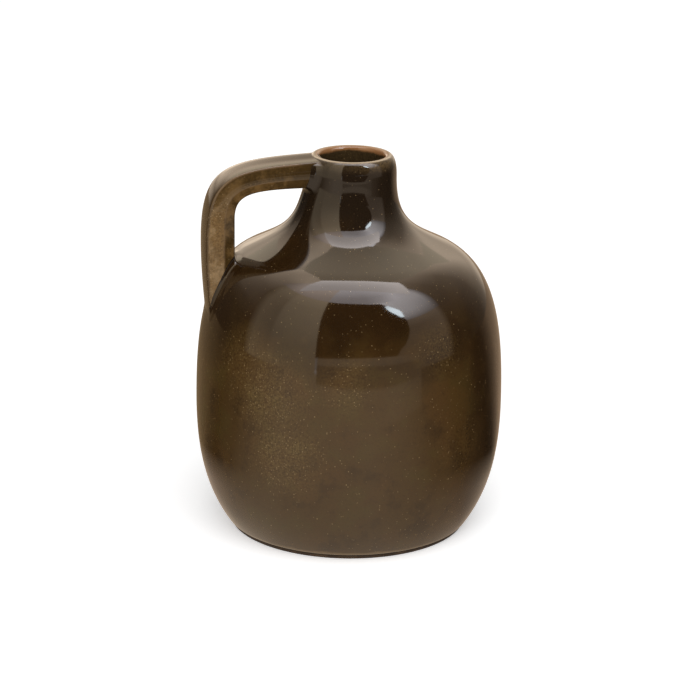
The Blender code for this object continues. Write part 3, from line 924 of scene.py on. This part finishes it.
def brownMaterial(name, groups, slip=False):
    # The vase's own glaze. On the slip joint it also darkens in the crease beside the strap, as pooled glaze
    # and painted crease shade.
    made, tree, shader = newMaterial(name, glaze["roughness"])
    look = placed(tree, groups["flow"], {"Cloud Scale": 50.0, "Grain Scale": 1500.0, "Seed": 2.0})
    cloud, patch, grain = look["Cloud"], look["Patch"], look["Grain"]
    where = placed(tree, groups["height"], {"Wander": cloud, "Fine Wander": patch})
    bloom = placed(tree, groups["bloom"], {"Cloud": patch})["Bloom"]
    dustSizes = {"Scale": 2000.0, "Share": scaled(bloom, 0.40, 0.045), "Dot Size": 0.55}
    dust = placed(tree, groups["specks"], dustSizes)["Specks"]
    share = scaled(where["Breaking"], 0.12, scaled(bloom, 0.06, 0.008))
    specks = placed(tree, groups["specks"], {"Scale": 1450.0, "Share": share})["Specks"]
    layers = [
        (times(ramp(patch, 0.48, 0.62), scaled(where["Low"], 0.52, 0.10)), "olive"),
        (times(ramp(cloud, 0.42, 0.54, 0.50, 0.0), scaled(where["Low"], 0.85, 0.15)), "amber"),
        (ramp(patch, 0.34, 0.48, 0.45, 0.0), "high"),
        (where["Neck"], "neck"),
        (ramp(grain, 0.32, 0.50, 0.22, 0.0), "pooledAndShade"),
        (times(bloom, ramp(grain, 0.40, 0.62, 0.0, 0.85)), "bloom"),
        (times(where["Breaking"], ramp(grain, 0.36, 0.62, 0.25, 1.0)), "thin"),
        # painted light inside the bore
        (times(where["Bore"], ramp(grain, 0.34, 0.62, 0.45, 1.0)), "bore"),
        (times(where["Rim"], ramp(patch, 0.30, 0.55, 0.55, 1.0)), "rim"),
        # pale foot line: thin glaze with a painted highlight
        (where["Foot"], "footLine"),
        (times(dust, 0.42), "fleck"),
        (times(specks, 0.36), "fleck"),
        # painted highlight on the crown of the lip, over nearly bare glaze
        (where["Crown"], "cream"),
    ]
    if slip:
        # painted crease shade, with pooled glaze, along the slip's edge beside the strap
        layers.append((ramp(stored(tree, "slipRun")["Fac"], 0.02, 0.38, 0.65, 0.0), "pooledAndShade"))
    base = mixed(where["Low"], glaze["high"], glaze["low"])
    feed(shader["Base Color"], layered(base, glaze, layers))
    feed(shader["Roughness"], scaled(grain, 0.03, glaze["roughness"] - 0.015))
    addBump(shader, look["Ripple"], 0.05, 0.6 * mm)
    return made


def strapMaterial(groups, finish=strapFinish):
    # Thinner glaze on the strap: pale and speckled down its side, dark along its top arm, with painted
    # highlights along its top edge and fold
    made, tree, shader = newMaterial("strapGlaze", finish["roughness"])
    look = placed(tree, groups["flow"], {"Cloud Scale": 150.0, "Grain Scale": 1500.0, "Seed": 5.0})
    cloud, patch, grain = look["Cloud"], look["Patch"], look["Grain"]
    x, _, height = splitPlace(objectPlace(tree))
    onArm = ramp(height, *finish["armHeights"])
    outward = stored(tree, "outward")["Fac"]
    wobble = scaled(minus(patch, 0.5), 0.30, outward)
    mottled = mixed(ramp(grain, 0.34, 0.66, 0.0, 0.9), finish["dark"], finish["shade"])
    side = mixed(ramp(grain, 0.32, 0.62, 0.25, 1.0), finish["shade"], finish["tan"])
    clouded = [(ramp(cloud, 0.46, 0.62, 0.0, 0.40), "pale"), (ramp(patch, 0.36, 0.50, 0.45, 0.0), "shade")]
    side = layered(side, finish, clouded)
    arm = mixed(ramp(cloud, 0.46, 0.66, 0.0, 0.5), mottled, finish["tan"])
    heelSide = mixed(ramp(patch, 0.42, 0.62, 0.0, 0.6), mottled, finish["tan"])
    heelArm = mixed(ramp(patch, 0.36, 0.58, 0.15, 0.9), mottled, finish["tan"])
    heel, flank = mixed(onArm, heelSide, heelArm), mixed(onArm, side, arm)
    outer = mixed(ramp(grain, 0.35, 0.7, 0.0, 0.5), finish["outer"], finish["shade"])
    outer = mixed(times(onArm, 0.85), outer, finish["crest"])
    base = mixed(ramp(wobble, -0.30, -0.18), heel, flank)
    base = mixed(ramp(wobble, 0.66, 0.86), base, outer)
    fromArris = calc("ABSOLUTE", minus(outward, finish["arrisAt"]))
    fromFold = calc("ABSOLUTE", plus(outward, finish["foldAt"]))
    aboveCrease = minus(height, scaled(x, finish["creaseSlope"], finish["creaseHeight"]))
    freckled = times(ramp(outward, -0.25, 0.0), minus(1.0, onArm))
    speckSizes = {"Scale": 2100.0, "Share": scaled(freckled, 0.34, 0.08), "Dot Size": 0.5}
    layers = (
        # painted highlights along the top edge of the arm and along the fold of the side
        (times(ramp(fromArris, 0.03, 0.10, 0.8, 0.0), onArm), "arrisHighlight"),
        (ramp(fromFold, 0.01, 0.08, 0.45, 0.0), "arrisHighlight"),
        (times(placed(tree, groups["specks"], speckSizes)["Specks"], 0.60), "pale"),
        # painted crease shade, with pooled glaze, where the strap meets the shoulder
        (ramp(aboveCrease, 0.5 * mm, 5.0 * mm, 0.70, 0.0), "dark"),
    )
    feed(shader["Base Color"], layered(base, finish, layers))
    feed(shader["Roughness"], scaled(grain, 0.06, finish["roughness"] - 0.03))
    addBump(shader, look["Ripple"], 0.05, 0.6 * mm)
    return made


def clayMaterial():
    made, tree, shader = newMaterial("bareClay", bareClay["roughness"])
    place = objectPlace(tree)
    patches = ramp(noise(place, 220.0, 5.0, 0.65), 0.45, 0.65)
    feed(shader["Base Color"], mixed(patches, bareClay["wash"], bareClay["clay"]))
    feed(shader["Roughness"], scaled(patches, 0.1, bareClay["roughness"] - 0.05))
    addBump(shader, noise(place, 1800.0, 4.0, 0.7), 0.35, 0.1 * mm)
    return made


glazeGroups = {"flow": flowGroup(), "specks": speckGroup(), "bloom": bloomGroup(), "height": heightGroup()}
brownGlaze = brownMaterial("brownGlaze", glazeGroups)
slipGlaze = brownMaterial("slipGlaze", glazeGroups, slip=True)
strapGlaze = strapMaterial(glazeGroups)
clay = clayMaterial()
print("materials made")

turned, swept = turnedTree(), strapTree()
vaseBody = grown("vaseBody", bodyProfile(), turned, Material=brownGlaze)
vaseNeck = grown("vaseNeck", neckProfile(), turned, Material=brownGlaze)
foot = grown("footRing", footProfile(), turned, Material=clay, Swell=0.0)
for made in (vaseBody, vaseNeck):
    joinNormals(made, vaseForm["seatHeight"])
print("body, neck and foot turned")

cutter = grown("shrunkForm", shrunkForm(strap["cutDepth"]), turned)
strapHandle = makeStrap(swept, strapGlaze, cutter)
bpy.data.objects.remove(cutter)
print("handle swept")

fineRail, finePairs = strapRail(strap["fineStations"])
fineSection = strapSection()
fineRings = strapRings(fineRail, finePairs, fineSection)
middle = len(fineRings) // 2
upperJoint = makeSlip("upperSlip", fineRings[middle::-1], fineSection, upperSlip, brownGlaze)
lowerJoint = makeSlip("lowerSlip", fineRings[middle:], fineSection, lowerSlip, slipGlaze)
print("slip joints lofted")

for made, node, slot in (
    (vaseBody, "body", "glaze"),
    (vaseNeck, "neck", "glaze"),
    (foot, "foot_ring", "bare_clay"),
    (strapHandle, "handle", "handle_glaze"),
    (upperJoint, "upper_slip_joint", "glaze"),
    (lowerJoint, "lower_slip_joint", "glaze"),
):
    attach(made, "root")
    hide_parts(node)
    print(made.name, len(made.data.polygons), "faces")

camera = {
    "target": np.array([0.00021658, 0.0, 0.0560322]),
    "distance": 0.8130670,
    "pitch": math.radians(17.82927),
    "roll": math.radians(0.77536),
    "turn": math.radians(-11.0),  # the handle points this far towards the viewer
    "focal": 2559.01 / 700.0,  # in image widths
    "sensor": 36.0,
    "clip": (0.01, 50.0),
}


def makeCamera(c=camera):
    back = np.array([0.0, -math.cos(c["pitch"]), math.sin(c["pitch"])])
    right = np.array([1.0, 0.0, 0.0])
    up = np.cross(back, right)
    rolledRight = right * math.cos(c["roll"]) + up * math.sin(c["roll"])
    rolledUp = up * math.cos(c["roll"]) - right * math.sin(c["roll"])
    place = Matrix.Identity(4)
    for i, column in enumerate((rolledRight, rolledUp, back, c["target"] + c["distance"] * back)):
        for row in range(3):
            place[row][i] = column[row]
    data = bpy.data.cameras.new("photoCamera")
    data.sensor_width = c["sensor"]
    data.lens = c["focal"] * c["sensor"]
    data.clip_start, data.clip_end = c["clip"]
    made = newObject("photoCamera", data)
    made.matrix_world = Matrix.Rotation(c["turn"], 4, "Z") @ place
    bpy.context.scene.camera = made
    return made


cameraPlace = makeCamera().matrix_world.translation
frontAngle = math.atan2(cameraPlace.y, cameraPlace.x)

# The studio. Cards hang far round the vase and show in its glaze only. A card is its distance in
# metres, its colour, and rows of (azimuth, elevation, brightness). Azimuth is counted from the
# camera to the viewer's right. Both are in degrees.
studio = {
    "middle": Vector((0.0, 0.0, 65.0 * mm)),
    "floorSize": 5.0,  # half its width
    "floorWhite": 0.88,
    "floorLift": 0.38,  # brings the open floor up to white for the camera
    "skyLight": 0.42,
}


def level(elevation, *spots):
    return [(azimuth, elevation, shine) for azimuth, shine in spots]


def levels(azimuths, *rows):
    # Rows that share their azimuths: an elevation, and then the brightness at each azimuth
    return [level(row[0], *zip(azimuths, row[1:])) for row in rows]


def edges(left, *rows):
    # Rows of full brightness: each is its right end, and its elevations at the left and there
    return [[(left, lowLeft, 1.0), (right, lowRight, 1.0)] for right, lowLeft, lowRight in rows]


seam = -25  # azimuth where the window and the top panel start, and the panels to their left end
ring = (80, 105, 128, 143, 155, 183, 192, 203, 225, 282)  # azimuths of the ring behind the vase
cards = {
    "darkWindow": (1.20, (0.012, 0.011, 0.010), edges(
        seam, (33, 4.6, 6.8), (39, 5.6, 8.2), (43.5, 8.5, 11), (46.6, 13, 15), (49, 20, 20), (49.5, 28, 28),
        (48, 33, 33), (42, 40, 40), (39, 49, 49), (36, 53, 53), (22, 55, 55), (2, 57, 57),
    )),
    "brightSpot": (1.19, (0.82, 0.93, 1.0), [
        level(33, (46, 15), (49, 15)), level(37, (43, 17), (49, 17)), level(41, (39.5, 17), (48.5, 17)),
        level(45, (37.5, 16), (45, 16)), level(49, (37, 12), (41, 12)),
    ]),
    "topPanel": (1.24, (1.0, 0.95, 0.98), [
        level(52, (seam, 2.4), (2, 2.6), (22, 2.8), (36, 5.0), (58, 6.0), (84, 4.6), (91, 1.0)),
        level(58, (seam, 2.6), (2, 2.6), (22, 2.9), (40, 4.2), (58, 6.4), (82, 4.8), (90, 1.9)),
        level(65, (seam, 3.2), (2, 2.9), (22, 3.0), (44, 4.2), (66, 6.4), (82, 5.4), (92, 3.4)),
        level(72, (seam, 4.3), (2, 4.1), (22, 4.2), (44, 5.2), (66, 6.2), (90, 7.0), (112, 7.6)),
        level(77, (seam, 5.0), (2, 4.8), (22, 5.0), (44, 5.5), (66, 6.2), (95, 7.2), (105, 7.6)),
        level(89.5, (seam, 5.4), (2, 5.2), (22, 5.4), (44, 5.8), (66, 6.4), (85, 7.0), (100, 7.4)),
    ]),
    "leftPanel": (1.26, (1.0, 0.82, 0.58), [
        level(-3, (-85, 0.1), (-79, 0.85), (-64, 0.85), (-61, 0.95), (seam, 1.0)),
        level(8, (-86, 0.15), (-79, 0.85), (-64, 0.85), (-61, 1.0), (seam, 1.15)),
        level(20, (-86, 0.25), (-79, 0.95), (-64, 0.9), (-61, 1.25), (seam, 1.6)),
        level(32, (-87, 0.4), (-79, 1.1), (-64, 1.0), (-61, 1.5), (seam, 1.9)),
        level(44, (-90, 0.5), (-80, 1.3), (-65, 1.3), (-61, 1.8), (seam, 2.1)),
        level(57, (-94, 1.4), (-84, 1.9), (-66, 2.3), (-62, 2.6), (seam, 2.8)),
    ]),
    "leftHigh": (1.265, (1.0, 0.84, 0.74), [
        level(56, (-98, 1.3), (-86, 1.7), (-78, 2.4), (-62, 2.6), (seam, 2.8)),
        level(64, (-98, 2.1), (-86, 3.2), (-76, 3.8), (-62, 3.9), (seam, 3.2)),
        level(72, (-98, 4.0), (-86, 4.5), (-70, 4.5), (-62, 4.5), (seam, 4.4)),
        level(76, (-98, 5.2), (-86, 4.8), (-70, 4.7), (-62, 4.7), (seam, 4.6)),
        level(89.5, (-98, 6.0), (-86, 5.6), (-70, 5.4), (-62, 5.4), (seam, 5.4)),
    ]),
    "rightLow": (1.24, (1.0, 0.80, 0.62), [
        level(-3, (30, 0.5), (60, 0.5), (79, 0.4), (85, 0.05)),
        level(8, (30, 0.55), (60, 0.6), (80, 0.6), (86, 0.1)),
        level(22, (30, 0.7), (60, 0.75), (80, 0.95), (86, 0.25)),
        level(30, (30, 1.2), (60, 1.5), (80, 1.4), (86, 0.4)),
    ]),
    "rightLamp": (1.23, (1.0, 0.96, 0.98), [
        level(29, (44, 1.6), (60, 1.5), (79, 1.2), (86, 0.4)),
        level(33, (44, 3.8), (60, 3.0), (79, 1.9), (87, 0.5)),
        level(38, (41, 5.2), (60, 4.3), (80, 2.6), (88, 0.6)),
        level(44, (37, 5.8), (60, 4.8), (81, 3.4), (89, 0.7)),
        level(50, (34, 6.4), (60, 5.4), (82, 4.4), (90, 0.9)),
        level(54, (34, 6.4), (60, 5.8), (83, 4.6), (91, 1.0)),
    ]),
    "darkCeiling": (1.27, (1.0, 0.85, 0.64), [
        level(27, (150, 1.7), (172, 1.6), (192, 1.8), (213, 1.7)),
        level(38, (150, 1.9), (172, 1.7), (192, 1.9), (213, 1.8)),
        level(46, (144, 1.9), (172, 1.8), (192, 1.7), (213, 1.6)),
        level(50, (140, 2.0), (171, 1.9), (192, 1.9), (213, 1.8)),
        level(55, (133, 2.0), (170, 2.0), (192, 2.0), (213, 2.0)),
        level(59.5, (127, 1.9), (165, 1.9), (187, 1.9), (210, 1.9)),
        level(67, (118, 1.75), (155, 1.75), (185, 1.75), (216, 1.75)),
        level(72, (105, 1.65), (150, 1.65), (185, 1.65), (224, 1.65)),
        level(78, (88, 1.6), (150, 1.6), (185, 1.6), (250, 1.6)),
        level(89.5, (80, 1.6), (150, 1.6), (185, 1.6), (280, 1.6)),
    ]),
    "backRing": (1.30, (1.0, 0.81, 0.62), [
        *levels(
            ring,
            (-5, 0.03, 0.03, 0.12, 0.4, 1.1, 1.1, 1.3, 1.2, 0.04, 0.03),
            (3, 0.05, 0.06, 0.20, 0.5, 1.2, 1.1, 1.4, 1.2, 0.06, 0.04),
            (6, 0.05, 0.08, 0.25, 0.6, 1.1, 1.0, 2.3, 0.8, 0.08, 0.05),
            (10, 0.06, 0.11, 0.31, 0.7, 1.2, 0.7, 2.6, 1.6, 0.1, 0.06),
            (12, 0.07, 0.13, 0.36, 0.8, 1.4, 0.5, 1.3, 1.7, 0.1, 0.07),
            (20, 0.15, 0.25, 0.45, 1.1, 1.9, 0.5, 1.1, 1.5, 0.3, 0.2),
        ),
        *levels((*ring[:7], 208, *ring[8:]), (25, 0.25, 0.35, 0.55, 1.3, 2.2, 1.2, 1.9, 1.9, 0.7, 0.3)),
        *levels((*ring[:5], 175, 190, 208, 225, 280), (32, 0.35, 0.45, 0.7, 1.6, 2.6, 1.9, 1.8, 1.7, 1, 0.4)),
        *levels((*ring[:5], 175, 190, 212, 228, 278), (44, 0.6, 0.6, 0.9, 2.1, 2.5, 1.9, 2.0, 2.2, 1.5, 0.6)),
        *levels((*ring[:5], 175, 190, 211, 226, 276), (52, 0.9, 0.8, 1.5, 2.4, 2.4, 2.2, 2.8, 3.3, 2.4, 0.9)),
        *levels((*ring[:5], 175, 190, 211, 226, 270), (60, 1.2, 1.3, 2.1, 2.4, 2.4, 2.6, 3.0, 3.4, 2.6, 1.7)),
        *levels(
            (80, 110, 128, 143, 155, 175, 190, 213, 228, 268),
            (70, 2.0, 2.2, 2.5, 2.5, 2.5, 2.5, 2.8, 3.1, 3.4, 3.6),
            (80, 2.0, 2.2, 2.5, 2.5, 2.5, 2.5, 2.8, 3.1, 3.4, 3.6),
        ),
    ]),
}
# A bright plate hangs close above the mouth: to the viewer's right and towards the camera, in
# millimetres, and its brightness
plate = {
    "height": 255 * mm,
    "colour": (1.0, 0.92, 0.89),
    "rows": (
        ((-44, 7, 7.2), (-22, 8, 7.2), (0, 8, 7.3), (48, 7, 7.7), (68, 6, 7.9), (84, 2, 7.6)),
        ((-60, 19, 5.6), (-36, 20, 5.6), (0, 22, 5.8), (54, 22, 6.5), (86, 20, 7.2), (104, 18, 7.0)),
        ((-84, 39, 4.5), (-44, 40, 4.6), (0, 42, 5.0), (54, 42, 5.6), (94, 40, 6.6), (124, 36, 6.4)),
        ((-108, 61, 4.2), (-54, 64, 4.3), (0, 66, 4.5), (54, 66, 5.0), (100, 64, 6.2), (140, 54, 5.6)),
    ),
}
# A low wall stands in front, and the window goes down behind it. Rows: height, and then places to
# the right in millimetres with their brightness
lowWall = {
    "front": 198 * mm,
    "colour": (1.0, 0.82, 0.63),
    "rows": (
        (0, (-126, 0.90), (70, 0.90), (160, 0.50)),
        (36, (-126, 0.86), (70, 0.86), (160, 0.50)),
        (41, (-126, 0.42), (70, 0.46), (160, 0.46)),
        (68, (-126, 0.40), (70, 0.46), (160, 0.46)),
        (70, (-126, 0.76), (70, 0.76), (160, 0.55)),
        (83, (-126, 0.80), (70, 0.80), (160, 0.55)),
    ),
}
windowFoot = {
    "front": 205 * mm,
    "colour": (0.012, 0.011, 0.010),
    "rows": (
        (0, (-118, 1.0), (78, 1.0)),
        (82, (-122, 1.0), (80, 1.0)),
        (88, (-138, 1.0), (86, 1.0)),
        (127, (-138, 1.0), (126, 1.0)),
    ),
}
# What the glaze shows of the floor, close to the foot and further out: azimuth, and its colour
cloth = {
    "height": 0.4 * mm,
    "radii": (25 * mm, 62 * mm, 92 * mm, 1.32),  # two rings near the foot, two further out
    "columns": 181,
    "near": (
        (-180, (0.50, 0.36, 0.24)),
        (-100, (0.55, 0.42, 0.32)),
        (-70, (0.62, 0.50, 0.38)),
        (-44, (0.86, 0.71, 0.55)),
        (14, (0.88, 0.74, 0.59)),
        (36, (0.66, 0.54, 0.42)),
        (70, (0.42, 0.32, 0.24)),
        (100, (0.50, 0.38, 0.28)),
        (180, (0.50, 0.36, 0.24)),
    ),
    "far": (
        (-180, (0.50, 0.36, 0.24)),
        (-166, (0.40, 0.28, 0.17)),
        (-150, (0.26, 0.18, 0.10)),
        (-136, (0.30, 0.20, 0.11)),
        (-118, (0.22, 0.15, 0.08)),
        (-108, (0.09, 0.065, 0.04)),
        (-98, (0.03, 0.022, 0.015)),
        (-80, (0.16, 0.12, 0.08)),
        (-62, (0.55, 0.44, 0.33)),
        (-44, (0.86, 0.71, 0.55)),
        (14, (0.88, 0.74, 0.59)),
        (36, (0.66, 0.54, 0.42)),
        (54, (0.30, 0.23, 0.17)),
        (76, (0.06, 0.045, 0.03)),
        (108, (0.02, 0.017, 0.013)),
        (116, (0.05, 0.04, 0.03)),
        (134, (0.45, 0.31, 0.20)),
        (180, (0.50, 0.36, 0.24)),
    ),
}
lamps = (
    # name, azimuth, elevation, distance, size, brightness on a card that faces it
    ("keyLamp", 15.0, 62.0, 2.9, 2.2, 0.42),
    ("frontLamp", -8.0, 26.0, 2.9, 1.9, 0.30),
)


def wayTo(azimuth, elevation):
    angle, rise = frontAngle + math.radians(azimuth), math.radians(elevation)
    return Vector((math.cos(rise) * math.cos(angle), math.cos(rise) * math.sin(angle), math.sin(rise)))


def glowMaterial(name, colour):
    # Shines with the brightness that the sheet's points carry
    made = bpy.data.materials.new(name)
    made.use_nodes = True
    tree = made.node_tree
    tree.nodes.clear()
    given = {"Color": (*colour, 1.0), "Strength": stored(tree, "brightness")["Fac"]}
    light = addNode(tree, "ShaderNodeEmission", given)
    addNode(tree, "ShaderNodeOutputMaterial", {"Surface": light.outputs["Emission"]})
    made.cycles.emission_sampling = "NONE"
    return made


def stageSheet(name, grid, brightness, material):
    # A sheet over a grid of points that only mirror rays see
    rows, columns = len(grid), len(grid[0])
    corners = [i * columns + j for i in range(rows - 1) for j in range(columns - 1)]
    faces = [(i, i + 1, i + columns + 1, i + columns) for i in corners]
    mesh = bpy.data.meshes.new(name)
    mesh.from_pydata([tuple(point) for row in grid for point in row], [], faces)
    addValues(mesh, "brightness", np.ravel(brightness))
    mesh.materials.append(material)
    sheet = newObject(name, mesh)
    sheet.visible_camera = sheet.visible_diffuse = sheet.visible_shadow = False
    return mesh


def makeCard(name, distance, colour, rows, columns=72, step=1.5):
    # Each row is spread over the columns, and filled up to the next by steps of some degrees
    marks = np.linspace(0.0, len(rows[0]) - 1.0, columns)
    wide = [[np.interp(marks, np.arange(len(row)), side) for side in zip(*row)] for row in rows]
    wide = np.array(wide)
    lines = [wide[0]]
    for low, high in zip(wide[:-1], wide[1:]):
        steps = max(1, int(np.abs(high[1] - low[1]).max() / step))
        lines += [low + (high - low) * (i + 1) / steps for i in range(steps)]
    grid = [[studio["middle"] + distance * wayTo(*spot) for spot in line[:2].T] for line in lines]
    stageSheet(name, grid, [line[2] for line in lines], glowMaterial(name, colour))


def makeUpright(name, sizes):
    grid = [[(side * mm, -sizes["front"], row[0] * mm) for side, _ in row[1:]] for row in sizes["rows"]]
    shine = [[bright for _, bright in row[1:]] for row in sizes["rows"]]
    stageSheet(name, grid, shine, glowMaterial(name, sizes["colour"]))


def makeCloth():
    azimuths = np.linspace(-180.0, 180.0, cloth["columns"])

    def tints(marks):
        places, colours = [azimuth for azimuth, _ in marks], zip(*(colour for _, colour in marks))
        return np.column_stack([np.interp(azimuths, places, channel) for channel in colours])

    made = glowMaterial("clothGlow", (1.0, 1.0, 1.0))
    feed(made.node_tree.nodes["Emission"].inputs["Color"], stored(made.node_tree, "tint")["Vector"])
    ways = [wayTo(azimuth, 0.0) for azimuth in azimuths]
    grid = [[(radius * way.x, radius * way.y, cloth["height"]) for way in ways] for radius in cloth["radii"]]
    mesh = stageSheet("floorCloth", grid, np.ones((len(grid), len(azimuths))), made)
    near, far = tints(cloth["near"]), tints(cloth["far"])
    addValues(mesh, "tint", np.vstack([near, near, far, far]))


def makePlate(steps=6):
    rows = np.array(plate["rows"], float)
    lines = [low + (high - low) * i / steps for low, high in zip(rows[:-1], rows[1:]) for i in range(steps)]
    lines.append(rows[-1])
    across, out, up = wayTo(90.0, 0.0) * mm, wayTo(0.0, 0.0) * mm, Vector((0.0, 0.0, plate["height"]))
    grid = [[right * across + front * out + up for right, front, _ in line.tolist()] for line in lines]
    shine = [line[:, 2] for line in lines]
    stageSheet("nearPlate", grid, shine, glowMaterial("nearPlate", plate["colour"]))


def seenRays(tree):
    # 1 for what the camera sees, straight or in a mirror
    path = addNode(tree, "ShaderNodeLightPath").outputs
    mirrored = calc("MAXIMUM", path["Is Glossy Ray"], path["Is Transmission Ray"])
    return calc("MAXIMUM", path["Is Camera Ray"], mirrored)


def makeFloor():
    mesh = bpy.data.meshes.new("floor")
    size, grey = studio["floorSize"], studio["floorWhite"]
    corners = [(-size, -size, 0), (size, -size, 0), (size, size, 0), (-size, size, 0)]
    mesh.from_pydata(corners, [], [(0, 1, 2, 3)])
    made, tree, shader = newMaterial("whiteFloor", roughness=0.9)
    seen, white = seenRays(tree), (1.0, 1.0, 1.0, 1.0)
    shader["Specular IOR Level"].default_value = 0.0
    shader["Emission Color"].default_value = white
    feed(shader["Base Color"], mixed(seen, (grey, grey, grey, 1.0), white))
    feed(shader["Emission Strength"], times(seen, studio["floorLift"]))
    mesh.materials.append(made)
    newObject("floor", mesh)


def makeWorld():
    world = bpy.data.worlds.new("studioWorld")
    world.use_nodes = True
    light, dim = world.node_tree.nodes["Background"].inputs, studio["skyLight"]
    light["Color"].default_value = (1.0, 1.0, 1.0, 1.0)
    feed(light["Strength"], scaled(seenRays(world.node_tree), 1.0 - dim, dim))
    bpy.context.scene.world = world


def makeLamp(name, azimuth, elevation, distance, size, brightness):
    data = bpy.data.lights.new(name, "AREA")
    data.shape, data.size = "DISK", size
    data.energy = brightness * math.pi**2 * distance**2
    made, way = newObject(name, data), wayTo(azimuth, elevation)
    made.location = studio["middle"] + distance * way
    made.rotation_mode = "QUATERNION"
    made.rotation_quaternion = way.to_track_quat("Z", "Y")
    made.visible_camera = made.visible_glossy = False


makeFloor()
makeWorld()
makeUpright("lowWall", lowWall)
makeUpright("windowFoot", windowFoot)
makeCloth()
makePlate()
for name, card in cards.items():
    makeCard(name, *card)
for lamp in lamps:
    makeLamp(*lamp)
bpy.context.scene.view_settings.view_transform = "Standard"
print("studio set up")
